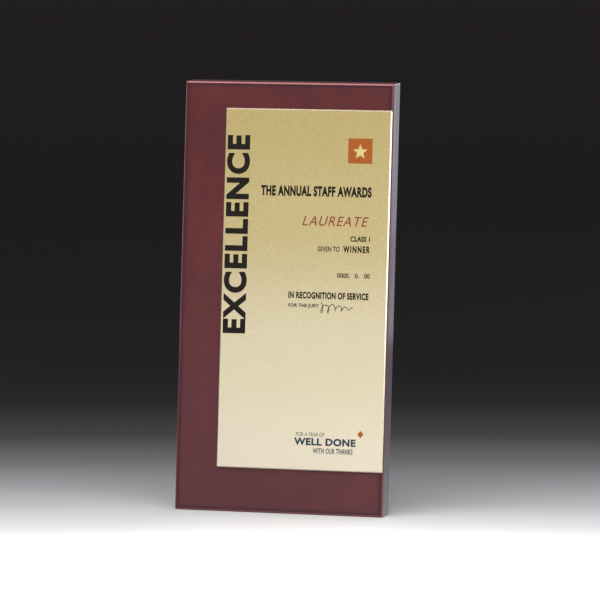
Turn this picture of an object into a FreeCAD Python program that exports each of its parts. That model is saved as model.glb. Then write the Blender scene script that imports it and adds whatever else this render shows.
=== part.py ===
"""A stand-up wooden award plaque: a lacquered board with a glued metal plate on its front,
and on its back a felt sheet, a keyhole hanger, wall bumpers and a wing that folds out on a butt hinge.

Every sub-part is drawn as if the board stood upright: X to the right, Y from the front face to the
back, Z up the board from its front bottom edge. One placement, the same for all of them, then leans
the plaque back until its level-cut base is flat on Z = 0, with the origin under the middle of it.
The board's top is cut level too, parallel to its base.
"""
import FreeCAD, Part
import math
import os
import re
import Sketcher

os.makedirs("parts", exist_ok=True)

SIZES = {
    # board
    "board_width": 150.0,
    "board_height": 300.0,
    "board_thickness": 18.0,
    "lean_angle": 6.0,
    "front_round": 1.5,
    "corner_round": 1.0,
    "back_chamfer": 0.8,
    # metal plate and the tape that holds it
    "plate_thickness": 1.2,
    "plate_left_margin": 30.0,
    "plate_right_margin": 0.5,
    "plate_top_margin": 18.5,
    "plate_bottom_margin": 31.0,
    "plate_corner_round": 0.9,
    "plate_bevel": 0.7,
    "tape_thickness": 0.4,
    "tape_inset": 2.0,
    # folding wing, the channel it folds into and its foot
    "wing_thickness": 6.0,
    "wing_reach": 52.0,
    "wing_top": 190.0,
    "wing_top_width": 12.0,
    "wing_tip_height": 14.0,
    "wing_round": 3.0,
    "wing_offset": 10.0,
    "wing_edge_gap": 0.05,
    "channel_clearance": 1.5,
    "channel_flush": 0.2,
    "foot_thickness": 2.0,
    "foot_length": 14.0,
    "foot_inset": 1.5,
    "foot_side_margin": 0.4,
    # butt hinge
    "hinge_middle": 105.0,
    "hinge_length": 60.0,
    "knuckle_radius": 1.8,
    "knuckle_clearance": 0.3,
    "knuckle_gap": 0.2,
    "leaf_width": 14.0,
    "leaf_thickness": 1.0,
    "leaf_relief": 0.3,
    "pin_radius": 1.0,
    "pin_clearance": 0.05,
    "pin_head_radius": 1.6,
    "pin_head_height": 0.7,
    # countersunk wood screws
    "screw_clearance": 0.05,
    "screw_point_radius": 0.3,
    "recess_width": 0.6,
    "hinge_screw_radius": 1.2,
    "hinge_screw_head_radius": 2.2,
    "hinge_screw_pitch": 20.0,
    "hinge_screw_from_pin": 8.5,
    "board_skin": 2.3,
    "wing_skin": 1.2,
    "hanger_screw_radius": 1.5,
    "hanger_screw_head_radius": 2.9,
    "hanger_screw_reach": 8.0,
    "hanger_screw_pitch": 32.0,
    # keyhole hanger
    "hanger_width": 44.0,
    "hanger_height": 25.0,
    "hanger_thickness": 1.5,
    "hanger_round": 3.0,
    "hanger_clearance": 0.2,
    "hanger_below_top": 38.0,
    "keyhole_entry_radius": 4.5,
    "keyhole_slot_radius": 2.25,
    "keyhole_rise": 8.0,
    "keyhole_below_middle": 4.0,
    "head_space_radius": 6.5,
    "head_space_depth": 6.0,
    # felt sheet and wall bumpers
    "felt_thickness": 0.8,
    "felt_margin": 3.0,
    "felt_clearance": 1.0,
    "bumper_radius": 4.0,
    "bumper_height": 2.0,
    "bumper_round": 0.8,
    "bumper_side_inset": 10.0,
    "bumper_end_inset": 16.0,
}
KNUCKLES = 5
HINGE_SCREWS = 3

# Places worked out from the sizes, as the text of expressions.
TAN_LEAN = "tan(lean_angle * 1deg)"
COS_LEAN = "cos(lean_angle * 1deg)"
SIN_LEAN = "sin(lean_angle * 1deg)"
PIN_OFFSET = "(knuckle_radius + knuckle_clearance)"
CHANNEL_FLOOR = f"(board_thickness - 2 * {PIN_OFFSET} - wing_thickness - channel_flush)"
CHANNEL_LEFT = "(wing_offset - wing_thickness / 2 - wing_reach - wing_edge_gap - channel_clearance)"
CHANNEL_RIGHT = "(wing_offset + wing_thickness / 2 + channel_clearance)"
CHANNEL_TOP = "(wing_top + channel_clearance)"
PIN_X = f"(wing_offset - wing_thickness / 2 - {PIN_OFFSET})"
PIN_Y = f"({CHANNEL_FLOOR} + {PIN_OFFSET})"
WING_EDGE = f"({CHANNEL_FLOOR} + wing_edge_gap)"
WING_TIP = f"({WING_EDGE} + wing_reach)"
WING_FACE = "(wing_offset - wing_thickness / 2)"
END_RISE = f"(board_thickness * {TAN_LEAN})"
PLATE_LEFT = "(plate_left_margin - board_width / 2)"
PLATE_RIGHT = "(board_width / 2 - plate_right_margin)"
PLATE_TOP = "(board_height - plate_top_margin)"
HANGER_MIDDLE = "(board_height - hanger_below_top)"
KEYHOLE_ENTRY = f"({HANGER_MIDDLE} - keyhole_below_middle)"
HINGE_SCREW_BOARD_REACH = f"({CHANNEL_FLOOR} - board_skin)"
HINGE_SCREW_WING_REACH = "(wing_thickness - wing_skin)"
# Front and back of the standing plaque, level with the floor, from the board's front bottom edge.
FRONT_OF_ALL = f"(front_round * (1 + {SIN_LEAN} - {COS_LEAN}) / {COS_LEAN})"
BACK_OF_ALL = f"({WING_TIP} / {COS_LEAN} + foot_thickness * {TAN_LEAN})"

doc = FreeCAD.newDocument("WoodenPlaque")
sheet = doc.addObject("Spreadsheet::Sheet", "Sizes")
for row, (name, value) in enumerate(SIZES.items(), start=1):
    sheet.set(f"A{row}", name)
    sheet.set(f"B{row}", str(value))
    sheet.setAlias(f"B{row}", name)
doc.recompute()

SIZE_NAMES = re.compile(r"\b(" + "|".join(SIZES) + r")\b")
parts = []


def bind(thing, name, text):
    """Ties a property to an expression in which each size's name stands for its cell."""
    thing.setExpression(name, SIZE_NAMES.sub(r"Sizes.\1", text))


def stand(thing):
    """Leans an upright sub-part back onto the floor and lists it as a part."""
    thing.Placement = FreeCAD.Placement(FreeCAD.Vector(), FreeCAD.Rotation(FreeCAD.Vector(-1, 0, 0), 1))
    bind(thing, ".Placement.Rotation.Angle", "lean_angle * 1deg")
    bind(thing, ".Placement.Base.y", f"-({FRONT_OF_ALL} + {BACK_OF_ALL}) / 2")
    parts.append(thing)
    return thing


def new_body(label):
    body = doc.addObject("PartDesign::Body", label)
    body.Label = label
    return body


def new_sketch(body, role, along="0"):
    """A sketch on one of the body's own origin planes, moved along that plane's normal."""
    sketch = body.newObject("Sketcher::SketchObject", body.Label + "_sketch")
    plane = next(f for f in body.Origin.OriginFeatures if f.Role == role)
    sketch.AttachmentSupport = [(plane, "")]
    sketch.MapMode = "FlatFace"
    bind(sketch, ".AttachmentOffset.Base.z", along)
    return sketch


def hold(sketch, kind, geometry, point, start, text):
    """Holds a point at a distance from the sketch's origin."""
    index = sketch.addConstraint(Sketcher.Constraint(kind, -1, 1, geometry, point, start))
    bind(sketch, f"Constraints[{index}]", text)


def add_outline(sketch, corners):
    """A closed outline of straight lines with its corners held at the given places."""
    count = len(corners)
    turns = [2 * math.pi * i / count for i in range(count)]
    starts = [FreeCAD.Vector(math.cos(turn), math.sin(turn), 0) for turn in turns]
    first = sketch.GeometryCount
    for i in range(count):
        sketch.addGeometry(Part.LineSegment(starts[i], starts[(i + 1) % count]), False)
    for i in range(count):
        after = first + (i + 1) % count
        sketch.addConstraint(Sketcher.Constraint("Coincident", first + i, 2, after, 1))
    for i, (across, up) in enumerate(corners):
        hold(sketch, "DistanceX", first + i, 1, starts[i].x, across)
        hold(sketch, "DistanceY", first + i, 1, starts[i].y, up)


def add_rectangle(sketch, left, right, bottom, top):
    add_outline(sketch, [(left, bottom), (right, bottom), (right, top), (left, top)])


def add_circle(sketch, across, up, radius):
    circle = sketch.addGeometry(Part.Circle(FreeCAD.Vector(), FreeCAD.Vector(0, 0, 1), 1), False)
    hold(sketch, "DistanceX", circle, 3, 0, across)
    hold(sketch, "DistanceY", circle, 3, 0, up)
    index = sketch.addConstraint(Sketcher.Constraint("Radius", circle, 1.0))
    bind(sketch, f"Constraints[{index}]", radius)


def add_pad(body, sketch, length, reverse=False, both_ways=False):
    pad = body.newObject("PartDesign::Pad", body.Label + "_pad")
    pad.Profile = sketch
    pad.Reversed = reverse
    pad.Midplane = both_ways
    bind(pad, "Length", length)
    doc.recompute()
    return pad


def add_pocket(body, sketch, depth, reverse=True):
    """Cuts a sketch into the body, and makes sure that the cut removes material."""
    before = body.Shape.Volume
    pocket = body.newObject("PartDesign::Pocket", body.Label + "_pocket")
    pocket.Profile = sketch
    pocket.Reversed = reverse
    bind(pocket, "Length", depth)
    doc.recompute()
    if not body.Shape.Volume < before:
        raise ValueError(pocket.Label + " cuts nothing")
    return pocket


def add_edge_work(body, kind, test, size_property, text):
    """Rounds or chamfers every edge of the body that passes the test."""
    base = body.Tip
    names = [f"Edge{i}" for i, edge in enumerate(base.Shape.Edges, start=1) if test(edge)]
    if not names:
        raise ValueError(body.Label + " has no such edge")
    work = body.newObject("PartDesign::" + kind, body.Label + "_" + kind.lower())
    work.Base = (base, names)
    bind(work, size_property, text)
    doc.recompute()
    return work


def near(value, wanted):
    return abs(value - wanted) < 1e-4


def spans_y(length):
    """A test for straight edges that run from front to back over a length."""
    return lambda edge: near(edge.BoundBox.YLength, length) and edge.BoundBox.XLength < 1e-4


def lies_at_y(depth):
    """A test for edges that lie in the upright plane at a distance behind the board's front."""
    return lambda edge: near(edge.BoundBox.YMin, depth) and near(edge.BoundBox.YMax, depth)


def is_wing_corner(edge):
    """A test for the straight edges across the wing's outer end."""
    crosses = near(edge.BoundBox.XLength, SIZES["wing_thickness"])
    return crosses and edge.BoundBox.YMin > SIZES["board_thickness"]


def is_hanger_screw_rim(edge):
    """A test for the outer rims of the hanger's screw holes."""
    radius = SIZES["hanger_screw_radius"] + SIZES["screw_clearance"]
    return lies_at_y(SIZES["board_thickness"])(edge) and near(edge.BoundBox.XLength, 2 * radius)


def add_keyhole(body, entry_radius, slot_radius, surface, depth):
    """Cuts a round entry with a slot that rises from it, from a surface towards the front."""
    slot_end = f"({KEYHOLE_ENTRY} + keyhole_rise)"
    entry = new_sketch(body, "XZ_Plane", "-" + surface)
    add_circle(entry, "0", KEYHOLE_ENTRY, entry_radius)
    add_pocket(body, entry, depth)
    slot = new_sketch(body, "XZ_Plane", "-" + surface)
    add_rectangle(slot, "-" + slot_radius, slot_radius, KEYHOLE_ENTRY, slot_end)
    add_pocket(body, slot, depth)
    end = new_sketch(body, "XZ_Plane", "-" + surface)
    add_circle(end, "0", slot_end, slot_radius)
    add_pocket(body, end, depth)


def screw_heights():
    """Heights of the hinge's screws."""
    return [f"(hinge_middle + {i - (HINGE_SCREWS - 1) / 2} * hinge_screw_pitch)" for i in range(HINGE_SCREWS)]


def hanger_screw_places():
    return ["(-hanger_screw_pitch / 2)", "(hanger_screw_pitch / 2)"]


def make_board():
    """The board, its base and top cut level with the floor, with the pockets and screw holes in its back."""
    thickness = SIZES["board_thickness"]
    body = new_body("board")
    side = new_sketch(body, "YZ_Plane")
    back_corners = [("board_thickness", END_RISE), ("board_thickness", f"board_height + {END_RISE}")]
    add_outline(side, [("0", "0")] + back_corners + [("0", "board_height")])
    add_pad(body, side, "board_width", both_ways=True)
    add_edge_work(body, "Fillet", spans_y(thickness), "Radius", "corner_round")
    add_edge_work(body, "Fillet", lies_at_y(0), "Radius", "front_round")
    add_edge_work(body, "Chamfer", lies_at_y(thickness), "Size", "back_chamfer")

    channel = new_sketch(body, "XZ_Plane", "-board_thickness")
    add_rectangle(channel, CHANNEL_LEFT, CHANNEL_RIGHT, "-board_thickness", CHANNEL_TOP)
    add_pocket(body, channel, f"board_thickness - {CHANNEL_FLOOR}")

    seat = new_sketch(body, "XZ_Plane", "-board_thickness")
    half_width = "(hanger_width / 2 + hanger_clearance)"
    half_height = "(hanger_height / 2 + hanger_clearance)"
    low = f"{HANGER_MIDDLE} - {half_height}"
    high = f"{HANGER_MIDDLE} + {half_height}"
    add_rectangle(seat, "-" + half_width, half_width, low, high)
    add_pocket(body, seat, "hanger_thickness")
    seat_floor = "(board_thickness - hanger_thickness)"
    add_keyhole(body, "head_space_radius", "head_space_radius", seat_floor, "head_space_depth")

    hanger_holes = new_sketch(body, "XZ_Plane", "-" + seat_floor)
    for x in hanger_screw_places():
        add_circle(hanger_holes, x, HANGER_MIDDLE, "hanger_screw_radius + screw_clearance")
    add_pocket(body, hanger_holes, "hanger_screw_reach + screw_clearance")
    hinge_holes = new_sketch(body, "XZ_Plane", "-" + CHANNEL_FLOOR)
    for height in screw_heights():
        across = f"{PIN_X} - hinge_screw_from_pin"
        add_circle(hinge_holes, across, height, "hinge_screw_radius + screw_clearance")
    add_pocket(body, hinge_holes, HINGE_SCREW_BOARD_REACH + " + screw_clearance")
    stand(body)


def make_plate():
    """The metal plate that carries the award's text, and the sheet of tape behind it."""
    plate = new_body("award_plate")
    face = new_sketch(plate, "XZ_Plane", "tape_thickness")
    add_rectangle(face, PLATE_LEFT, PLATE_RIGHT, "plate_bottom_margin", PLATE_TOP)
    add_pad(plate, face, "plate_thickness")
    add_edge_work(plate, "Fillet", spans_y(SIZES["plate_thickness"]), "Radius", "plate_corner_round")
    front = -SIZES["tape_thickness"] - SIZES["plate_thickness"]
    add_edge_work(plate, "Chamfer", lies_at_y(front), "Size", "plate_bevel")
    stand(plate)

    tape = new_body("plate_tape")
    area = new_sketch(tape, "XZ_Plane")
    left = PLATE_LEFT + " + tape_inset"
    right = PLATE_RIGHT + " - tape_inset"
    add_rectangle(area, left, right, "plate_bottom_margin + tape_inset", PLATE_TOP + " - tape_inset")
    add_pad(tape, area, "tape_thickness")
    stand(tape)


def make_felt():
    """The felt sheet on the board's back, cut out round the channel and the hanger."""
    body = new_body("back_felt")
    area = new_sketch(body, "XZ_Plane", "-board_thickness")
    side = "(board_width / 2 - felt_margin)"
    bottom = f"{END_RISE} + felt_margin"
    top = f"board_height + {END_RISE} - felt_margin"
    cut_left = CHANNEL_LEFT + " - felt_clearance"
    cut_right = CHANNEL_RIGHT + " + felt_clearance"
    cut_top = CHANNEL_TOP + " + felt_clearance"
    left_foot = [("-" + side, bottom), (cut_left, bottom), (cut_left, cut_top)]
    right_foot = [(cut_right, cut_top), (cut_right, bottom), (side, bottom)]
    add_outline(area, left_foot + right_foot + [(side, top), ("-" + side, top)])
    half_width = "(hanger_width / 2 + felt_clearance)"
    half_height = "(hanger_height / 2 + felt_clearance)"
    low = f"{HANGER_MIDDLE} - {half_height}"
    high = f"{HANGER_MIDDLE} + {half_height}"
    add_rectangle(area, "-" + half_width, half_width, low, high)
    add_pad(body, area, "felt_thickness", reverse=True)
    stand(body)


def make_bumpers():
    """Four soft bumpers that keep the board off a wall."""
    across = "(board_width / 2 - bumper_side_inset)"
    low = "bumper_end_inset"
    high = "(board_height - bumper_end_inset)"
    places = [("-" + across, low), (across, low), ("-" + across, high), (across, high)]
    surface = SIZES["board_thickness"] + SIZES["felt_thickness"]
    for number, (x, z) in enumerate(places, start=1):
        body = new_body(f"wall_bumper_{number}")
        disc = new_sketch(body, "XZ_Plane", "-board_thickness - felt_thickness")
        add_circle(disc, x, z, "bumper_radius")
        add_pad(body, disc, "bumper_height", reverse=True)
        outer = lies_at_y(surface + SIZES["bumper_height"])
        add_edge_work(body, "Fillet", outer, "Radius", "bumper_round")
        stand(body)


def make_wing():
    """The wing that folds out behind the board, and its foot. Its bottom edge is level with the floor."""
    body = new_body("prop_wing")
    side = new_sketch(body, "YZ_Plane", WING_FACE)
    lift = f"foot_thickness / {COS_LEAN}"
    tip_bottom = f"({WING_TIP} * {TAN_LEAN} + {lift})"
    tip_top = (f"{WING_TIP} - wing_tip_height * {SIN_LEAN}", f"{tip_bottom} + wing_tip_height * {COS_LEAN}")
    bottom = [(WING_EDGE, f"{WING_EDGE} * {TAN_LEAN} + {lift}"), (WING_TIP, tip_bottom)]
    top = [(f"{WING_EDGE} + wing_top_width", "wing_top"), (WING_EDGE, "wing_top")]
    add_outline(side, bottom + [tip_top] + top)
    add_pad(body, side, "wing_thickness")
    add_edge_work(body, "Fillet", is_wing_corner, "Radius", "wing_round")

    holes = new_sketch(body, "YZ_Plane", WING_FACE)
    for height in screw_heights():
        add_circle(holes, f"{PIN_Y} + hinge_screw_from_pin", height, "hinge_screw_radius + screw_clearance")
    add_pocket(body, holes, HINGE_SCREW_WING_REACH + " + screw_clearance")
    stand(body)

    foot = new_body("wing_foot")
    sole = new_sketch(foot, "YZ_Plane", WING_FACE + " + foot_side_margin")
    back = f"({WING_TIP} - foot_inset - wing_round)"
    front = f"({back} - foot_length)"
    corners = [(front, "0"), (back, "0"), (back, lift), (front, lift)]
    add_outline(sole, [(y, f"{y} * {TAN_LEAN} + {rise}") for y, rise in corners])
    add_pad(foot, sole, "wing_thickness - 2 * foot_side_margin")
    stand(foot)


def place(thing, x="0", y="0", z="0"):
    for axis, text in zip("xyz", (x, y, z)):
        bind(thing, ".Placement.Base." + axis, text)


def new_box(x, y, z, length, width, height):
    box = doc.addObject("Part::Box", "box")
    for name, text in (("Length", length), ("Width", width), ("Height", height)):
        bind(box, name, text)
    place(box, x, y, z)
    return box


def new_cylinder(radius, height, z):
    cylinder = doc.addObject("Part::Cylinder", "cylinder")
    bind(cylinder, "Radius", radius)
    bind(cylinder, "Height", height)
    place(cylinder, z=z)
    return cylinder


def new_cone(low_radius, high_radius, height, z):
    cone = doc.addObject("Part::Cone", "cone")
    bind(cone, "Radius1", low_radius)
    bind(cone, "Radius2", high_radius)
    bind(cone, "Height", height)
    place(cone, z=z)
    return cone


def join(pieces):
    fuse = doc.addObject("Part::MultiFuse", "fuse")
    fuse.Shapes = pieces
    return fuse


def cut_away(base, tool):
    cut = doc.addObject("Part::Cut", "cut")
    cut.Base = base
    cut.Tool = tool
    return cut


def group(label, pieces):
    """One node made of separate solids, or of one, that were placed upright."""
    compound = doc.addObject("Part::Compound", label)
    compound.Label = label
    compound.Links = pieces
    return stand(compound)


def turned(thing, axis, degrees):
    thing.Placement = FreeCAD.Placement(FreeCAD.Vector(), FreeCAD.Rotation(axis, degrees))
    return thing


def make_leaf(label, knuckles, axis, degrees):
    """One leaf of the hinge. It is drawn round the pin, lying along -X on the wood behind it."""
    length = "hinge_length"
    step = f"({length} / {KNUCKLES})"
    tube = f"({step} - knuckle_gap)"
    reach = "(knuckle_radius + leaf_relief)"
    low = "-" + PIN_OFFSET
    flat = f"leaf_width - {reach}"
    solids = [new_box("-leaf_width", low, f"-{length} / 2", flat, "leaf_thickness", length)]
    for i in knuckles:
        start = f"(-{length} / 2 + {i} * {step} + knuckle_gap / 2)"
        solids.append(new_box("-" + reach, low, start, reach, "leaf_thickness", tube))
        solids.append(new_cylinder("knuckle_radius", tube, start))
    holes = [new_cylinder("pin_radius + pin_clearance", f"2 * {length}", f"-{length}")]
    for i in range(HINGE_SCREWS):
        narrow = "hinge_screw_radius + screw_clearance"
        wide = "hinge_screw_head_radius + screw_clearance"
        sink = turned(new_cone(narrow, wide, "leaf_thickness", "0"), FreeCAD.Vector(1, 0, 0), -90)
        middle = i - (HINGE_SCREWS - 1) / 2
        place(sink, "-hinge_screw_from_pin", low, f"{middle} * hinge_screw_pitch")
        holes.append(sink)
    leaf = cut_away(join(solids), join(holes))
    turned(leaf, axis, degrees)
    place(leaf, PIN_X, PIN_Y, "hinge_middle")
    group(label, [leaf])


def make_pin():
    """The hinge's pin, with a flat head at each end."""
    length = "(hinge_length + 2 * knuckle_gap)"
    shaft = new_cylinder("pin_radius", length, f"-{length} / 2")
    low_head = new_cylinder("pin_head_radius", "pin_head_height", f"-{length} / 2 - pin_head_height")
    high_head = new_cylinder("pin_head_radius", "pin_head_height", f"{length} / 2")
    pin = join([low_head, shaft, high_head])
    place(pin, PIN_X, PIN_Y, "hinge_middle")
    group("hinge_pin", [pin])


def new_screw(radius, head_radius, head_height, reach):
    """A countersunk wood screw with a cross recess, its head's top at Z = 0 and its point below."""
    point = f"({reach} / 4)"
    head = new_cone(radius, head_radius, head_height, f"-{head_height}")
    shank = new_cylinder(radius, f"{reach} - {point}", f"-{head_height} - {reach} + {point}")
    tip = new_cone("screw_point_radius", radius, point, f"-{head_height} - {reach}")
    long = f"({head_radius} * 1.2)"
    half = "recess_width / 2"
    arm = new_box(f"-{long} / 2", f"-{half}", "-recess_width", long, "recess_width", "2 * recess_width")
    other = new_box(f"-{half}", f"-{long} / 2", "-recess_width", "recess_width", long, "2 * recess_width")
    return cut_away(join([head, shank, tip]), join([arm, other]))


def make_screws():
    """Screws of the hinge's two leaves and of the hanger, each set as one node."""
    to_back = (FreeCAD.Vector(1, 0, 0), -90)
    to_left = (FreeCAD.Vector(0, 1, 0), -90)
    radius = "hinge_screw_radius"
    head = "hinge_screw_head_radius"
    in_board = []
    in_wing = []
    for height in screw_heights():
        screw = turned(new_screw(radius, head, "leaf_thickness", HINGE_SCREW_BOARD_REACH), *to_back)
        place(screw, f"{PIN_X} - hinge_screw_from_pin", f"{CHANNEL_FLOOR} + leaf_thickness", height)
        in_board.append(screw)
        screw = turned(new_screw(radius, head, "leaf_thickness", HINGE_SCREW_WING_REACH), *to_left)
        place(screw, WING_FACE + " - leaf_thickness", f"{PIN_Y} + hinge_screw_from_pin", height)
        in_wing.append(screw)
    group("hinge_screws_board", in_board)
    group("hinge_screws_wing", in_wing)

    in_hanger = []
    for x in hanger_screw_places():
        height = "(hanger_screw_head_radius - hanger_screw_radius)"
        screw = new_screw("hanger_screw_radius", "hanger_screw_head_radius", height, "hanger_screw_reach")
        place(turned(screw, *to_back), x, "board_thickness", HANGER_MIDDLE)
        in_hanger.append(screw)
    group("hanger_screws", in_hanger)


def make_hanger():
    """The steel keyhole hanger, flush with the board's back."""
    body = new_body("keyhole_hanger")
    face = new_sketch(body, "XZ_Plane", "-board_thickness")
    low = f"{HANGER_MIDDLE} - hanger_height / 2"
    high = f"{HANGER_MIDDLE} + hanger_height / 2"
    add_rectangle(face, "-hanger_width / 2", "hanger_width / 2", low, high)
    add_pad(body, face, "hanger_thickness")
    thickness = SIZES["hanger_thickness"]
    add_edge_work(body, "Fillet", spans_y(thickness), "Radius", "hanger_round")
    add_keyhole(body, "keyhole_entry_radius", "keyhole_slot_radius", "board_thickness", "hanger_thickness")
    holes = new_sketch(body, "XZ_Plane", "-board_thickness")
    for x in hanger_screw_places():
        add_circle(holes, x, HANGER_MIDDLE, "hanger_screw_radius + screw_clearance")
    add_pocket(body, holes, "hanger_thickness")
    rim_size = "hanger_screw_head_radius - hanger_screw_radius"
    add_edge_work(body, "Chamfer", is_hanger_screw_rim, "Size", rim_size)
    stand(body)


make_board()
make_plate()
make_felt()
make_bumpers()
make_wing()
make_hanger()
make_leaf("hinge_leaf_board", range(0, KNUCKLES, 2), FreeCAD.Vector(1, 0, 0), 0)
make_leaf("hinge_leaf_wing", range(1, KNUCKLES, 2), FreeCAD.Vector(1, -1, 0), 180)
make_pin()
make_screws()
doc.recompute()

for thing in doc.Objects:
    if "Invalid" in thing.State or "Error" in thing.State:
        raise ValueError(thing.Label + " failed to build")
for part in parts:
    if part.Shape.isNull() or not part.Shape.isValid():
        raise ValueError(part.Label + " has no valid shape")
for part in parts:
    part.Shape.exportStep(f"parts/{part.Label}.step")
    print(part.Label, len(part.Shape.Solids), round(part.Shape.Volume, 1))
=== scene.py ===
"""A stand-up award plaque: a lacquered mahogany board with a sand-blasted gold plate that is
printed in ink, and on its back black felt, a zinc-plated hanger, rubber bumpers and a folding wing.

Places on the plaque are given upright: x to the right from its middle, y back from the board's
front face and z up the board from its front bottom edge, in millimetres. The plaque leans back.
"""
import math

import bmesh
import bpy
from mathutils import Matrix, Vector


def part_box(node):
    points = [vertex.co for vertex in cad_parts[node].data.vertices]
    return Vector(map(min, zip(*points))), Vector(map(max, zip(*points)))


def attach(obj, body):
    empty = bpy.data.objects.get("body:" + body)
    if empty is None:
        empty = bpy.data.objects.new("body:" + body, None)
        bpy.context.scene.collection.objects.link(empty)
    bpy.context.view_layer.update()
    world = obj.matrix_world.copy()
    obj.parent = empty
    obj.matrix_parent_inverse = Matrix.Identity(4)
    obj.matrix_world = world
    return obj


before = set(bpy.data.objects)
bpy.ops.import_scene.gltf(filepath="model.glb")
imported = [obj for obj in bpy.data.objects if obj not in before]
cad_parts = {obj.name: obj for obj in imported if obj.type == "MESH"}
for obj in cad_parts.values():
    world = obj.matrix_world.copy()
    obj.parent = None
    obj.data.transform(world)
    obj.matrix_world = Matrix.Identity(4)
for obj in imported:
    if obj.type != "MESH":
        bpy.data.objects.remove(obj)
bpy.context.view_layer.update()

MM = 0.001
LEAN = math.radians(6.0)
BOARD_WIDTH, BOARD_HEIGHT = 150.0, 300.0
PLATE_LEFT, PLATE_RIGHT = -45.0, 74.5
PLATE_BOTTOM, PLATE_TOP = 31.0, 281.5
PLATE_FRONT = -1.6
PLATE_BEVEL = 0.7
CHANNEL_LEFT, CHANNEL_RIGHT, CHANNEL_TOP = -46.55, 14.5, 191.5
CHANNEL_FLOOR = 7.6
INK_THICKNESS = 0.05
INK_SINK = 0.02
CAMERA_YAW = math.radians(15.36)

# The board's front bottom edge, from its box: the round-over pulls the box's front back a little.
FRONT_ROUND = 1.5
edge_to_box = FRONT_ROUND * (1 + math.sin(LEAN) - math.cos(LEAN)) / math.cos(LEAN)
FRONT_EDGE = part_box("board")[0].y / MM - edge_to_box
UPRIGHT_TO_ROW = (
    Matrix.Translation((0, FRONT_EDGE * MM, 0))
    @ Matrix.Rotation(-LEAN, 4, "X")
    @ Matrix.Scale(MM, 4)
)


# ---------------------------------------------------------------- colours
def srgb(red, green, blue):
    """A colour given in display values from 0 to 255, as the linear colour that nodes take."""
    def linear(value):
        value /= 255
        return value / 12.92 if value <= 0.04045 else ((value + 0.055) / 1.055) ** 2.4

    return (linear(red), linear(green), linear(blue), 1.0)


# ---------------------------------------------------------------- shader expressions
class Wire:
    """An output socket of a material's nodes. Arithmetic on it adds Math nodes to the tree."""

    def __init__(self, tree, socket=None):
        self.tree = tree
        self.socket = socket

    def node(self, kind, settings, sockets, output=0):
        """Adds a node: its settings are set first, then its sockets get numbers, colours or wires."""
        made = self.tree.nodes.new("ShaderNode" + kind)
        for name, value in settings.items():
            if name == "stops":
                self.set_stops(made.color_ramp, value)
            elif name == "interpolation" and kind == "ValToRGB":
                made.color_ramp.interpolation = value
            else:
                setattr(made, name, value)
        for name, value in sockets.items():
            if isinstance(value, Wire):
                self.tree.links.new(value.socket, made.inputs[name])
            else:
                made.inputs[name].default_value = value
        return Wire(self.tree, made.outputs[output])

    @staticmethod
    def set_stops(ramp, stops):
        while len(ramp.elements) < len(stops):
            ramp.elements.new(1.0)
        for element, (position, colour) in zip(ramp.elements, stops):
            element.position = position
            element.color = colour

    def math(self, operation, first, second=0.0):
        return self.node("Math", {"operation": operation}, {0: first, 1: second})

    def __add__(self, other):
        return self.math("ADD", self, other)

    __radd__ = __add__

    def __sub__(self, other):
        return self.math("SUBTRACT", self, other)

    def __rsub__(self, other):
        return self.math("SUBTRACT", other, self)

    def __mul__(self, other):
        return self.math("MULTIPLY", self, other)

    __rmul__ = __mul__

    def smaller(self, other):
        return self.math("MINIMUM", self, other)

    def larger(self, other):
        return self.math("MAXIMUM", self, other)

    def without_sign(self):
        return self.math("ABSOLUTE", self)

    def clamped(self):
        return self.node("Clamp", {}, {"Value": self})

    def over(self, low, high, to_low=0.0, to_high=1.0, shape="SMOOTHSTEP"):
        """This value carried from one range to another, eased at both ends."""
        sockets = {"Value": self, "From Min": low, "From Max": high}
        sockets.update({"To Min": to_low, "To Max": to_high})
        return self.node("MapRange", {"interpolation_type": shape, "clamp": True}, sockets)

    def mix(self, low, high):
        """Two colours mixed by this value."""
        return self.node("Mix", {"data_type": "RGBA"}, {0: self, 6: low, 7: high}, output=2)


class Finish:
    """A material with one Principled surface, and the wires its patterns start from."""

    def __init__(self, name, **constants):
        self.material = bpy.data.materials.new(name)
        self.material.use_nodes = True
        self.tree = self.material.node_tree
        self.surface = self.tree.nodes["Principled BSDF"]
        for socket, value in constants.items():
            self.surface.inputs[socket.replace("_", " ")].default_value = value
        self.start = Wire(self.tree)

    def upright(self):
        """Object coordinates as an upright place in millimetres, with z up the leaning board."""
        found = self.start.node("TexCoord", {}, {}, output="Object")
        back = (0, -FRONT_EDGE * math.cos(LEAN), -FRONT_EDGE * math.sin(LEAN))
        sockets = {"Vector": found, "Rotation": (LEAN, 0, 0), "Scale": (1 / MM,) * 3, "Location": back}
        return self.start.node("Mapping", {"vector_type": "POINT"}, sockets)

    def stretched(self, place, across, deep, up):
        """A place scaled so that a pattern of scale 1 has these sizes, in millimetres."""
        sizes = (1 / across, 1 / deep, 1 / up)
        return self.start.node("VectorMath", {"operation": "MULTIPLY"}, {0: place, 1: sizes})

    def noise(self, where, detail=2.0, roughness=0.5, distortion=0.0):
        sockets = {"Vector": where, "Scale": 1.0, "Detail": detail, "Roughness": roughness}
        sockets["Distortion"] = distortion
        return self.start.node("TexNoise", {}, sockets, output="Fac")

    def part(self, place, axis):
        return self.start.node("SeparateXYZ", {}, {"Vector": place}, output=axis)

    def ramp(self, value, stops, interpolation="LINEAR"):
        settings = {"stops": stops, "interpolation": interpolation}
        return self.start.node("ValToRGB", settings, {"Fac": value}, output="Color")

    def use(self, **wires):
        for socket, wire in wires.items():
            self.tree.links.new(wire.socket, self.surface.inputs[socket.replace("_", " ")])
        return self.material

    def bump(self, height, strength, distance):
        sockets = {"Height": height, "Strength": strength, "Distance": distance * MM}
        return self.start.node("Bump", {}, sockets)


def finish_piece(obj, material, body):
    """Gives a piece its material and slot, and lets it ride on a body."""
    obj.data.materials.clear()
    obj.data.materials.append(material)
    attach(obj, body)


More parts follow.
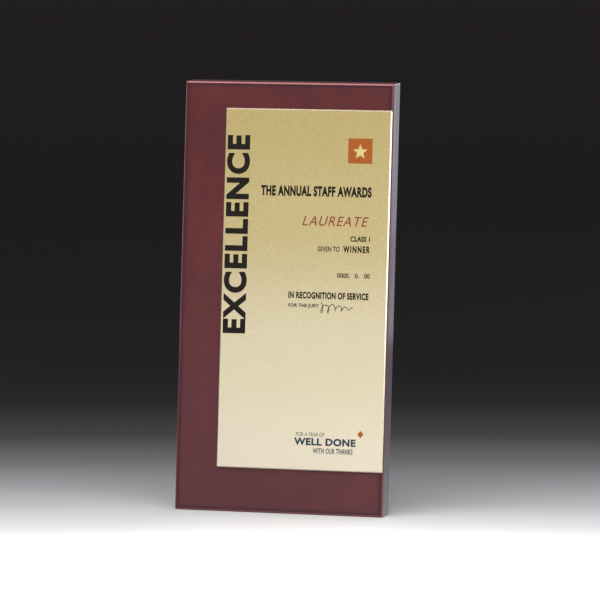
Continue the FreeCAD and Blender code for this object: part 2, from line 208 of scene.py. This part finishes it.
def cover(node, material):
    """Gives a CAD node one material."""
    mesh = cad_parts[node].data
    mesh.materials.clear()
    mesh.materials.append(material)


# ---------------------------------------------------------------- finishes
def make_lacquered_wood(name, has_channel):
    """Mahogany stain over fine straight grain, under a thick clear lacquer, with painted reflections
    and a painted edge highlight.
    """
    finish = Finish(name, Coat_Roughness=0.12, Coat_IOR=1.5, IOR=1.45, Specular_IOR_Level=0.2)
    place = finish.upright()
    across, deep, up = (finish.part(place, axis) for axis in "XYZ")
    clouds = finish.noise(finish.stretched(place, 34, 34, 48), detail=3, roughness=0.55)
    grain = finish.noise(finish.stretched(place, 1.7, 1.7, 60), detail=4, roughness=0.6, distortion=0.3)
    speckle = finish.noise(finish.stretched(place, 1.3, 1.3, 1.7), detail=3, roughness=0.7)
    pores = finish.noise(finish.stretched(place, 0.35, 0.35, 5), detail=1).over(0.62, 0.8)
    tone = (clouds - 0.5) * 1.15 + (grain - 0.5) * 0.3 + (speckle - 0.5) * 1.6 + 0.5
    colour = finish.ramp(tone.clamped(), [
        (0.0, srgb(58, 31, 42)),
        (0.35, srgb(75, 33, 38)),
        (0.65, srgb(86, 37, 36)),
        (1.0, srgb(104, 48, 38)),
    ])
    dark = (pores * 0.3).mix(colour, srgb(48, 20, 22))

    # Painted light: the colour is greyer towards the foot, a painted haze of reflected light, and
    # darker in a band inside the front's outline, a painted dark reflection along the lacquer's rolled
    # edge.
    from_side = BOARD_WIDTH / 2 - across.without_sign()
    from_end = up.smaller(BOARD_HEIGHT - up)
    inset = from_side.smaller(from_end)
    foot = up.over(-20, 240, 0.55, 0.0, "LINEAR")
    painted_edge_reflection = inset.over(FRONT_ROUND - 0.1, 4.5, 1.0, 0.0) * 0.75
    stain_and_painted_light = painted_edge_reflection.mix(foot.mix(dark, srgb(90, 57, 61)), srgb(44, 24, 38))

    # The narrow sides are dark, and greyer and paler near the floor: that lilac-grey is a painted
    # reflection.
    side = from_side.over(0.1, 0.7, 1.0, 0.0)
    side_stain_and_reflection = up.over(90, 190, 1.0, 0.0).mix(srgb(44, 24, 32), srgb(84, 70, 80))
    stain_and_painted_light = (side * 0.75).mix(stain_and_painted_light, side_stain_and_reflection)
    streaks = finish.noise(finish.stretched(place, 2.6, 2.6, 140), detail=3, roughness=0.7)
    coat = 1 - side * streaks.over(0.4, 0.6, 0.35, 0.0)

    # A painted highlight: a lighter red on the front's round-over, strongest at the two ends.
    painted_highlight_ends = from_end.over(1.0, 1.7, 0.65, 0.0)
    painted_highlight_sides = from_side.over(1.0, 1.7, 0.3, 0.0)
    painted_highlight = painted_highlight_ends.larger(painted_highlight_sides) * deep.over(0.9, 1.6, 1.0, 0.0)
    stain_and_painted_light = painted_highlight.mix(stain_and_painted_light, srgb(150, 66, 62))

    rough = grain.over(0.3, 0.7, 0.4, 0.55)
    normal = finish.bump(1 - pores, 0.12, 0.05)
    if has_channel:
        # The routed channel at the back has little lacquer.
        fade = 0.4
        right_of_left = across.over(CHANNEL_LEFT - fade, CHANNEL_LEFT, shape="LINEAR")
        left_of_right = across.over(CHANNEL_RIGHT, CHANNEL_RIGHT + fade, 1.0, 0.0, "LINEAR")
        below_top = up.over(CHANNEL_TOP, CHANNEL_TOP + fade, 1.0, 0.0, "LINEAR")
        behind = deep.over(CHANNEL_FLOOR - fade, CHANNEL_FLOOR - 0.1, shape="LINEAR")
        raw = right_of_left * left_of_right * below_top * behind
        coat = coat * (1 - raw * 0.85)
        stain_and_painted_light = (raw * 0.35).mix(stain_and_painted_light, srgb(84, 44, 36))
    return finish.use(Base_Color=stain_and_painted_light, Roughness=rough, Coat_Weight=coat, Normal=normal)


def make_gold_plate():
    """Sand-blasted satin gold, paled towards its foot by a painted reflection, inside a polished
    bevelled rim.
    """
    finish = Finish("gold_plate", Metallic=0.85)
    place = finish.upright()
    across, up = finish.part(place, "X"), finish.part(place, "Z")
    height = up.over(PLATE_BOTTOM, PLATE_TOP, shape="LINEAR")
    blotches = finish.noise(finish.stretched(place, 2.4, 2.4, 2.4), detail=3, roughness=0.7)
    grit = finish.noise(finish.stretched(place, 0.75, 0.75, 0.75), detail=3, roughness=0.8)
    # Painted reflection: the gold pales to cream towards the plate's foot, and its grit shows less
    # there.
    tone = finish.ramp(height, [
        (0.0, srgb(244, 234, 212)),
        (0.35, srgb(240, 229, 196)),
        (0.7, srgb(221, 205, 151)),
        (1.0, srgb(211, 193, 134)),
    ], "EASE")
    shade = ((blotches - 0.5) * 0.22 + (grit - 0.5) * 0.78 + 0.5).over(0.32, 0.68, shape="LINEAR")
    depth = height.over(0.0, 1.0, 0.12, 0.62, "LINEAR")
    colour = (shade * depth).mix(tone, srgb(150, 128, 76))

    from_sides = (across - PLATE_LEFT).smaller(PLATE_RIGHT - across)
    from_ends = (up - PLATE_BOTTOM).smaller(PLATE_TOP - up)
    inset = from_sides.smaller(from_ends)
    half_step = 0.05
    rim = inset.over(PLATE_BEVEL - half_step, PLATE_BEVEL + half_step, 1.0, 0.0, "LINEAR")
    rough = rim.over(0, 1, grit.over(0.3, 0.7, 0.42, 0.6), 0.26, "LINEAR")
    normal = finish.bump((grit + blotches * 0.5) * (1 - rim), 0.25, 0.05)
    return finish.use(Base_Color=rim.mix(colour, srgb(236, 218, 196)), Roughness=rough, Normal=normal)


def make_ink(name, colour, thin_colour):
    """Printed ink that is a little thinner in places and follows the grit beneath it."""
    finish = Finish(name, IOR=1.45, Specular_IOR_Level=0.12)
    place = finish.upright()
    grit = finish.noise(finish.stretched(place, 0.4, 0.4, 0.4), detail=2, roughness=0.6)
    patches = finish.noise(finish.stretched(place, 3, 3, 3), detail=2)
    thin = (grit * 0.6 + patches * 0.4).over(0.4, 0.75, 0.0, 0.8)
    rough = grit.over(0.3, 0.7, 0.44, 0.6)
    normal = finish.bump(grit, 0.2, 0.03)
    return finish.use(Base_Color=thin.mix(colour, thin_colour), Roughness=rough, Normal=normal)


def make_felt_cloth():
    """Pressed black felt."""
    finish = Finish("felt", Sheen_Weight=0.35, Sheen_Roughness=0.5)
    place = finish.upright()
    fine = finish.stretched(place, 0.5, 0.5, 0.5)
    hairs = finish.noise(fine, detail=5, roughness=0.75, distortion=1.5)
    lumps = finish.noise(finish.stretched(place, 4, 4, 4), detail=3, roughness=0.6)
    tone = (hairs * 0.6 + lumps * 0.4).over(0.3, 0.7)
    colour = finish.ramp(tone, [(0.0, srgb(23, 23, 26)), (1.0, srgb(54, 52, 56))])
    rough = tone.over(0, 1, 0.85, 1.0)
    normal = finish.bump(hairs + lumps * 0.6, 0.9, 0.25)
    return finish.use(Base_Color=colour, Roughness=rough, Normal=normal)


def make_fibre():
    """The felt's own wool, a little lighter where it lies loose."""
    finish = Finish("loose_wool", Sheen_Weight=0.3)
    place = finish.upright()
    change = finish.noise(finish.stretched(place, 5, 5, 5), detail=2).over(0.35, 0.65)
    colour = change.mix(srgb(38, 37, 40), srgb(92, 89, 92))
    return finish.use(Base_Color=colour, Roughness=change.over(0, 1, 0.8, 0.95))


def make_metal(name, colour, dull_colour, low_rough, high_rough):
    """Plated or drawn metal with faint lines along the board and dull patches."""
    finish = Finish(name, Metallic=1.0)
    place = finish.upright()
    lines = finish.noise(finish.stretched(place, 0.12, 0.12, 9), detail=2, roughness=0.6)
    dull = finish.noise(finish.stretched(place, 3, 3, 5), detail=4, roughness=0.65).over(0.45, 0.75)
    rough = lines.over(0.3, 0.7, low_rough, high_rough) + dull * 0.12
    normal = finish.bump(lines, 0.15, 0.02)
    return finish.use(Base_Color=(dull * 0.35).mix(colour, dull_colour), Roughness=rough, Normal=normal)


def make_rubber():
    """Black rubber with a little dust on it."""
    finish = Finish("soft_rubber", IOR=1.5)
    place = finish.upright()
    grain = finish.noise(finish.stretched(place, 0.5, 0.5, 0.5), detail=3, roughness=0.6)
    dust = finish.noise(finish.stretched(place, 3, 3, 3), detail=4, roughness=0.7).over(0.5, 0.8)
    colour = (dust * 0.3).mix(srgb(30, 30, 32), srgb(84, 82, 80))
    rough = grain.over(0.3, 0.7, 0.5, 0.72)
    return finish.use(Base_Color=colour, Roughness=rough, Normal=finish.bump(grain, 0.3, 0.05))


def make_tape():
    """White foam tape."""
    finish = Finish("tape", IOR=1.45)
    place = finish.upright()
    cells = finish.noise(finish.stretched(place, 0.3, 0.3, 0.3), detail=3, roughness=0.6)
    colour = cells.over(0.3, 0.7).mix(srgb(196, 194, 186), srgb(222, 220, 214))
    rough = cells.over(0.3, 0.7, 0.55, 0.75)
    return finish.use(Base_Color=colour, Roughness=rough, Normal=finish.bump(cells, 0.4, 0.05))


board_lacquer = make_lacquered_wood("board_lacquer", True)
wing_lacquer = make_lacquered_wood("wing_lacquer", False)
gold_plate = make_gold_plate()
felt_cloth = make_felt_cloth()
loose_wool = make_fibre()
zinc = make_metal("zinc_steel", srgb(198, 202, 206), srgb(158, 162, 160), 0.2, 0.32)
brass = make_metal("hinge_brass", srgb(216, 188, 128), srgb(178, 148, 96), 0.22, 0.3)
rubber = make_rubber()
tape = make_tape()
black_ink = make_ink("black_ink", srgb(24, 20, 18), srgb(40, 35, 29))
red_ink = make_ink("red_ink", srgb(122, 38, 26), srgb(142, 66, 44))
orange_ink = make_ink("orange_ink", srgb(146, 77, 30), srgb(160, 94, 46))
blue_ink = make_ink("blue_ink", srgb(34, 52, 66), srgb(62, 80, 90))
grey_ink = make_ink("grey_ink", srgb(116, 110, 94), srgb(146, 138, 118))
pale_ink = make_ink("pale_ink", srgb(196, 178, 124), srgb(176, 150, 96))

cover("board", board_lacquer)
cover("prop_wing", wing_lacquer)
cover("award_plate", gold_plate)
cover("plate_tape", tape)
cover("back_felt", felt_cloth)
for node in ("keyhole_hanger", "hanger_screws"):
    cover(node, zinc)
for part in ("leaf_board", "leaf_wing", "pin", "screws_board", "screws_wing"):
    cover("hinge_" + part, brass)
for corner in ("1", "2", "3", "4"):
    cover("wall_bumper_" + corner, rubber)
cover("wing_foot", rubber)


# ---------------------------------------------------------------- loose fibres on the felt
def link_nodes(tree, source, output, target, socket):
    tree.links.new(source.outputs[output], target.inputs[socket])


FIBRE_INPUTS = {
    "Geometry": "NodeSocketGeometry",
    "Fibres per square metre": "NodeSocketFloat",
    "Length": "NodeSocketFloat",
    "Radius": "NodeSocketFloat",
    "Rise": "NodeSocketFloat",
    "Seed": "NodeSocketInt",
    "Material": "NodeSocketMaterial",
}


def make_fibre_tree():
    """A tree that strews short arched fibres over a surface, lying at random turns."""
    tree = bpy.data.node_groups.new("felt_fibres", "GeometryNodeTree")
    for name, kind in FIBRE_INPUTS.items():
        tree.interface.new_socket(name, in_out="INPUT", socket_type=kind)
    tree.interface.new_socket("Geometry", in_out="OUTPUT", socket_type="NodeSocketGeometry")

    def add(kind, **settings):
        node = tree.nodes.new(kind)
        for name, value in settings.items():
            setattr(node, name, value)
        return node

    given = add("NodeGroupInput")
    result = add("NodeGroupOutput")
    points = add("GeometryNodeDistributePointsOnFaces")
    link_nodes(tree, given, "Geometry", points, "Mesh")
    link_nodes(tree, given, "Fibres per square metre", points, "Density")
    link_nodes(tree, given, "Seed", points, "Seed")

    # One fibre lies along its own X with its middle raised by the rise.
    half = add("ShaderNodeMath", operation="MULTIPLY")
    half.inputs[1].default_value = 0.5
    link_nodes(tree, given, "Length", half, 0)
    minus = add("ShaderNodeMath", operation="MULTIPLY")
    minus.inputs[1].default_value = -0.5
    link_nodes(tree, given, "Length", minus, 0)
    start, middle, end = (add("ShaderNodeCombineXYZ") for _ in range(3))
    link_nodes(tree, minus, 0, start, "X")
    link_nodes(tree, half, 0, end, "X")
    link_nodes(tree, given, "Rise", middle, "Z")
    arch = add("GeometryNodeCurveQuadraticBezier")
    arch.inputs["Resolution"].default_value = 4
    for source, socket in ((start, "Start"), (middle, "Middle"), (end, "End")):
        link_nodes(tree, source, 0, arch, socket)
    ring = add("GeometryNodeCurvePrimitiveCircle")
    ring.inputs["Resolution"].default_value = 3
    link_nodes(tree, given, "Radius", ring, "Radius")
    fibre = add("GeometryNodeCurveToMesh")
    fibre.inputs["Fill Caps"].default_value = True
    link_nodes(tree, arch, 0, fibre, "Curve")
    link_nodes(tree, ring, 0, fibre, "Profile Curve")

    turn = add("FunctionNodeRandomValue", data_type="FLOAT_VECTOR")
    turn.inputs[0].default_value = (0, 0, 0)
    turn.inputs[1].default_value = (0.15, 0.15, 2 * math.pi)
    link_nodes(tree, given, "Seed", turn, "Seed")
    spun = add("FunctionNodeRotateRotation", rotation_space="LOCAL")
    link_nodes(tree, points, "Rotation", spun, "Rotation")
    link_nodes(tree, turn, 0, spun, "Rotate By")
    size = add("FunctionNodeRandomValue", data_type="FLOAT")
    size.inputs[2].default_value = 0.5
    size.inputs[3].default_value = 1.3
    link_nodes(tree, given, "Seed", size, "Seed")
    strewn = add("GeometryNodeInstanceOnPoints")
    link_nodes(tree, points, "Points", strewn, "Points")
    link_nodes(tree, fibre, 0, strewn, "Instance")
    link_nodes(tree, spun, 0, strewn, "Rotation")
    link_nodes(tree, size, 1, strewn, "Scale")
    real = add("GeometryNodeRealizeInstances")
    link_nodes(tree, strewn, 0, real, "Geometry")
    dressed = add("GeometryNodeSetMaterial")
    link_nodes(tree, real, 0, dressed, "Geometry")
    link_nodes(tree, given, "Material", dressed, "Material")
    link_nodes(tree, dressed, 0, result, "Geometry")
    return tree


def felt_surface():
    """The felt's back face in from its edges, as a surface for the fibres."""
    surface = bpy.data.meshes.new("felt_surface")
    work = bmesh.new()
    work.from_mesh(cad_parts["back_felt"].data)
    bmesh.ops.remove_doubles(work, verts=work.verts, dist=1e-6)
    facing = Vector((0, math.cos(LEAN), -math.sin(LEAN)))
    others = [f for f in work.faces if f.normal.dot(facing) < 0.99]
    bmesh.ops.delete(work, geom=others, context="FACES")
    work.to_mesh(surface)
    work.free()
    return surface


def strew_fibres(material):
    """Loose fibres that lie on the back of the felt."""
    base = bpy.data.objects.new("fibre_base", felt_surface())
    bpy.context.scene.collection.objects.link(base)
    modifier = base.modifiers.new("fibres", "NODES")
    modifier.node_group = make_fibre_tree()
    wanted = {
        "Fibres per square metre": 130000.0,
        "Length": 3.6 * MM,
        "Radius": 0.045 * MM,
        "Rise": 0.3 * MM,
        "Seed": 7,
        "Material": material,
    }
    for item in modifier.node_group.interface.items_tree:
        if item.in_out == "INPUT" and item.name in wanted:
            modifier[item.identifier] = wanted[item.name]
    bpy.context.view_layer.update()
    strewn = base.evaluated_get(bpy.context.evaluated_depsgraph_get())
    mesh = bpy.data.meshes.new_from_object(strewn)
    bpy.data.objects.remove(base)
    mesh.name = "felt_fibres"
    fibres = bpy.data.objects.new("felt_fibres", mesh)
    bpy.context.scene.collection.objects.link(fibres)
    finish_piece(fibres, material, "plaque")


# ---------------------------------------------------------------- ink on the plate
def closed_mesh(work, name):
    """Turns a working mesh into a finished one, its corners joined and its faces outward."""
    bmesh.ops.remove_doubles(work, verts=work.verts, dist=1e-5)
    bmesh.ops.recalc_face_normals(work, faces=work.faces)
    mesh = bpy.data.meshes.new(name)
    work.to_mesh(mesh)
    work.free()
    return mesh


def mesh_of_curve(name, curve):
    """The solid that a text or curve draws, at its own size."""
    drawn = bpy.data.objects.new(name, curve)
    bpy.context.scene.collection.objects.link(drawn)
    bpy.context.view_layer.update()
    solid = drawn.evaluated_get(bpy.context.evaluated_depsgraph_get()).to_mesh()
    work = bmesh.new()
    work.from_mesh(solid)
    bpy.data.objects.remove(drawn)
    return closed_mesh(work, name)


def fit_mesh(mesh, width, height):
    """Scales a flat mesh to a size and the ink's thickness, its lowest corner at the origin."""
    xs = [v.co.x for v in mesh.vertices]
    ys = [v.co.y for v in mesh.vertices]
    zs = [v.co.z for v in mesh.vertices]
    low = Vector((min(xs), min(ys), min(zs)))
    size = Vector((max(xs), max(ys), max(zs))) - low
    thickness = INK_THICKNESS + INK_SINK
    scale = Matrix.Diagonal((width / size.x, height / size.y, thickness / size.z, 1))
    mesh.transform(scale @ Matrix.Translation(-low))


def lay_print(mesh, box, material, upward=False, lift=0.0):
    """Lays a flat mesh as ink into a box on the plate.

    The box is its left, right, bottom and top, from the board's front bottom left corner.
    """
    left, right, bottom, top = box
    width, height = right - left, top - bottom
    if upward:
        fit_mesh(mesh, height, width)
        mesh.transform(Matrix.Translation((width, 0, 0)) @ Matrix.Rotation(math.pi / 2, 4, "Z"))
    else:
        fit_mesh(mesh, width, height)
    turn = Matrix.Rotation(math.pi / 2, 4, "X")
    spot = Matrix.Translation((left - BOARD_WIDTH / 2, PLATE_FRONT + INK_SINK - lift, bottom))
    mesh.transform(UPRIGHT_TO_ROW @ spot @ turn)
    obj = bpy.data.objects.new(mesh.name, mesh)
    bpy.context.scene.collection.objects.link(obj)
    finish_piece(obj, material, "plaque")


def print_words(name, words, box, material, weight=0.0, spacing=1.0, slant=0.0, upward=False):
    """Prints words; the weight fattens the letters by that share of their height."""
    curve = bpy.data.curves.new(name, "FONT")
    curve.body = words
    curve.offset = weight
    curve.space_character = spacing
    curve.shear = slant
    curve.extrude = 0.5
    curve.resolution_u = 6
    lay_print(mesh_of_curve(name, curve), box, material, upward)


def print_outline(name, corners, box, material, lift=0.0):
    """Prints a flat shape with straight sides, or lifts it onto another print."""
    work = bmesh.new()
    face = work.faces.new([work.verts.new((x, y, 0)) for x, y in corners])
    made = bmesh.ops.extrude_face_region(work, geom=[face])
    lifted = [v for v in made["geom"] if isinstance(v, bmesh.types.BMVert)]
    bmesh.ops.translate(work, verts=lifted, vec=(0, 0, 1))
    lay_print(closed_mesh(work, name), box, material, lift=lift)


def star_corners(points, inner):
    """A star with its first point up, as a closed outline."""
    turns = [math.pi / 2 + math.pi * i / points for i in range(2 * points)]
    reaches = [1 if i % 2 == 0 else inner for i in range(2 * points)]
    return [(reach * math.cos(turn), reach * math.sin(turn)) for turn, reach in zip(turns, reaches)]


def print_flourish(name, box, material):
    """A looping pen stroke that shrinks from left to right."""
    left, right, bottom, top = box
    loops, steps, pen = 5, 90, 0.24
    length, height = right - left, top - bottom
    curve = bpy.data.curves.new(name, "CURVE")
    curve.dimensions = "3D"
    curve.bevel_depth = pen
    curve.bevel_resolution = 1
    curve.resolution_u = 1
    curve.use_fill_caps = True
    stroke = curve.splines.new("POLY")
    stroke.points.add(steps)
    for i, point in enumerate(stroke.points):
        along = i / steps
        turn = 2 * math.pi * loops * along
        swing = height / 2 * (1 - 0.75 * along) * (0.8 + 0.2 * math.cos(3 * turn / loops))
        lead = length * along + 1.5 * (1 - along) * math.sin(turn)
        point.co = (lead + 0.35 * swing * math.cos(turn), swing * math.cos(turn + 0.4), 0, 1)
    lay_print(mesh_of_curve(name, curve), box, material)


strew_fibres(loose_wool)

SQUARE = [(0, 0), (1, 0), (1, 1), (0, 1)]
SQUARE_ON_POINT = [(0, -1), (1, 0), (0, 1), (-1, 0)]
BADGE = (119.0, 136.3, 244.5, 261.8)
STAR = (122.4, 132.9, 248.0, 258.2)

UPRIGHT_WORD = (31.8, 48.5, 124.5, 262.8)
print_words("print_upright_word", "EXCELLENCE", UPRIGHT_WORD, black_ink, 0.045, 1.16, upward=True)
print_outline("print_badge", SQUARE, BADGE, orange_ink)
print_outline("print_badge_star", star_corners(5, 0.42), STAR, pale_ink, INK_THICKNESS)

TITLE = (57.0, 136.5, 221.0, 228.3)
print_words("print_title", "THE ANNUAL STAFF AWARDS", TITLE, black_ink, 0.052, 1.1)
print_words("print_prize", "LAUREATE", (87.5, 135.0, 200.8, 207.5), red_ink, 0.0, 1.15, 0.3)
print_words("print_class", "CLASS 1", (122.3, 136.3, 190.3, 194.0), black_ink, 0.035)
print_words("print_given_to", "GIVEN TO", (99.0, 114.7, 183.0, 186.6), black_ink, 0.024, 1.08)
print_words("print_winner", "WINNER", (117.3, 136.5, 182.5, 187.3), black_ink, 0.045, 1.3)
print_words("print_date", "0000.   0.   00", (113.3, 136.8, 165.0, 168.3), black_ink, 0.02)

REASON = (78.8, 136.3, 150.0, 154.8)
print_words("print_reason", "IN RECOGNITION OF SERVICE", REASON, black_ink, 0.045, 1.08)
print_words("print_signed", "FOR THE JURY", (79.0, 101.0, 143.3, 146.5), black_ink, 0.024)
print_flourish("print_flourish", (102.3, 125.5, 140.3, 147.8), black_ink)

FOOT_LINE = (99.5, 128.0, 42.8, 46.6)
print_words("print_foot_small", "FOR A YEAR OF", (87.0, 107.5, 54.5, 57.3), grey_ink, 0.02)
print_words("print_foot_bold", "WELL DONE", (85.8, 130.0, 48.3, 53.5), blue_ink, 0.045, 1.1)
print_words("print_foot_line", "WITH OUR THANKS", FOOT_LINE, blue_ink, 0.024, 1.08)
print_outline("print_foot_diamond", SQUARE_ON_POINT, (131.0, 135.5, 54.6, 59.6), orange_ink)


# ---------------------------------------------------------------- floor, lights and camera
def make_floor():
    """A round floor with a painted pool of light: pale round the plaque, darkening in an oval laid
    square to the camera.
    """
    to_oval_middle = (-0.08, 0.3, 0)
    oval_squeeze = (0.4, 1, 1)
    finish = Finish("pale_floor", IOR=1.06, Roughness=0.28)
    place = finish.start.node("TexCoord", {}, {}, output="Object")
    shift = {0: place, 1: to_oval_middle}
    centred = finish.start.node("VectorMath", {"operation": "ADD"}, shift)
    turn = {"Vector": centred, "Rotation": (0, 0, -CAMERA_YAW)}
    turned = finish.start.node("Mapping", {"vector_type": "POINT"}, turn)
    squeeze = {0: turned, 1: oval_squeeze}
    squeezed = finish.start.node("VectorMath", {"operation": "MULTIPLY"}, squeeze)
    reach = finish.start.node("VectorMath", {"operation": "LENGTH"}, {0: squeezed}, output="Value")
    # Painted fall of light: the floor's colour darkens with distance from the plaque.
    tone = finish.ramp(reach.over(0.0, 1.4, shape="LINEAR"), [
        (0.0, (0.97, 0.97, 0.97, 1)),
        (0.095, (0.93, 0.93, 0.935, 1)),
        (0.166, (0.575, 0.575, 0.585, 1)),
        (0.231, (0.39, 0.39, 0.401, 1)),
        (0.305, (0.255, 0.257, 0.266, 1)),
        (0.387, (0.127, 0.128, 0.132, 1)),
        (0.489, (0.044, 0.044, 0.046, 1)),
        (0.64, (0.0145, 0.0135, 0.014, 1)),
        (0.79, (0.009, 0.008, 0.008, 1)),
    ])
    finish.use(Base_Color=tone)
    mesh = bpy.data.meshes.new("floor")
    work = bmesh.new()
    bmesh.ops.create_circle(work, cap_ends=True, segments=96, radius=30.0)
    work.to_mesh(mesh)
    work.free()
    floor = bpy.data.objects.new("floor", mesh)
    bpy.context.scene.collection.objects.link(floor)
    mesh.materials.append(finish.material)


def soft_light(name, place, aim, size, power, colour=(1, 1, 1)):
    """A rectangular light, its size its width and height, that doesn't show itself."""
    light = bpy.data.lights.new(name, "AREA")
    light.shape = "RECTANGLE"
    light.size, light.size_y = size
    light.energy = power
    light.color = colour
    lamp = bpy.data.objects.new(name, light)
    bpy.context.scene.collection.objects.link(lamp)
    lamp.location = place
    lamp.rotation_mode = "QUATERNION"
    lamp.rotation_quaternion = (Vector(aim) - Vector(place)).to_track_quat("-Z", "Y")
    lamp.visible_camera = False


def make_camera():
    """A long lens, to the right of the plaque and a little above it."""
    yaw, pitch, distance = CAMERA_YAW, math.radians(6.01), 3.17834
    target = Vector((16.16 * MM, FRONT_EDGE * MM, 149.83 * MM))
    forward = Vector((
        -math.sin(yaw) * math.cos(pitch),
        math.cos(yaw) * math.cos(pitch),
        -math.sin(pitch),
    ))
    data = bpy.data.cameras.new("camera")
    data.sensor_width = 36.0
    data.lens = 275.89
    data.clip_start = 0.1
    data.clip_end = 100.0
    camera = bpy.data.objects.new("camera", data)
    bpy.context.scene.collection.objects.link(camera)
    camera.location = target - forward * distance
    camera.rotation_mode = "QUATERNION"
    camera.rotation_quaternion = forward.to_track_quat("-Z", "Y")
    bpy.context.scene.camera = camera


def make_surroundings():
    """A dark room, paler overhead."""
    world = bpy.data.worlds.new("studio")
    world.use_nodes = True
    sky = Wire(world.node_tree)
    way = sky.node("TexCoord", {}, {}, output="Generated")
    height = sky.node("SeparateXYZ", {}, {"Vector": way}, output="Z")
    tone = sky.node("ValToRGB", {"stops": [
        (0.0, (0.066, 0.053, 0.056, 1)),
        (0.5, (0.07, 0.066, 0.07, 1)),
        (1.0, (0.45, 0.45, 0.47, 1)),
    ]}, {"Fac": height}, output="Color")
    background = world.node_tree.nodes["Background"]
    world.node_tree.links.new(tone.socket, background.inputs["Color"])
    bpy.context.scene.world = world


LILAC = (0.88, 0.87, 1.0)
PALE_LILAC = (0.95, 0.92, 1.0)
FOOT = (0, 0, 0.15)

make_floor()
soft_light("top_softbox", (0.0, -0.72, 1.3), (0, -0.3, 0), (2.2, 1.25), 37)
soft_light("front_fill", (-0.5, -1.6, 1.5), FOOT, (2.0, 1.0), 8.5)
soft_light("side_panel", (0.4, 1.0, 0.5), (0.1, 0, 0.5), (0.4, 0.8), 1.02, LILAC)
soft_light("side_panel_low", (0.4, 1.0, 0.05), (0.1, 0, 0.05), (0.4, 0.1), 0.09, LILAC)
soft_light("left_strip", (-0.85, 0.8, 0.35), FOOT, (0.5, 0.7), 2.0, PALE_LILAC)
soft_light("right_strip", (1.25, -0.45, 0.33), (0, 0, 0.2), (0.5, 0.34), 3.1)
soft_light("back_softbox", (1.0, 1.6, 0.75), (0, 0, 0.17), (1.2, 0.6), 13)
make_surroundings()
make_camera()
bpy.context.scene.view_settings.view_transform = "Standard"
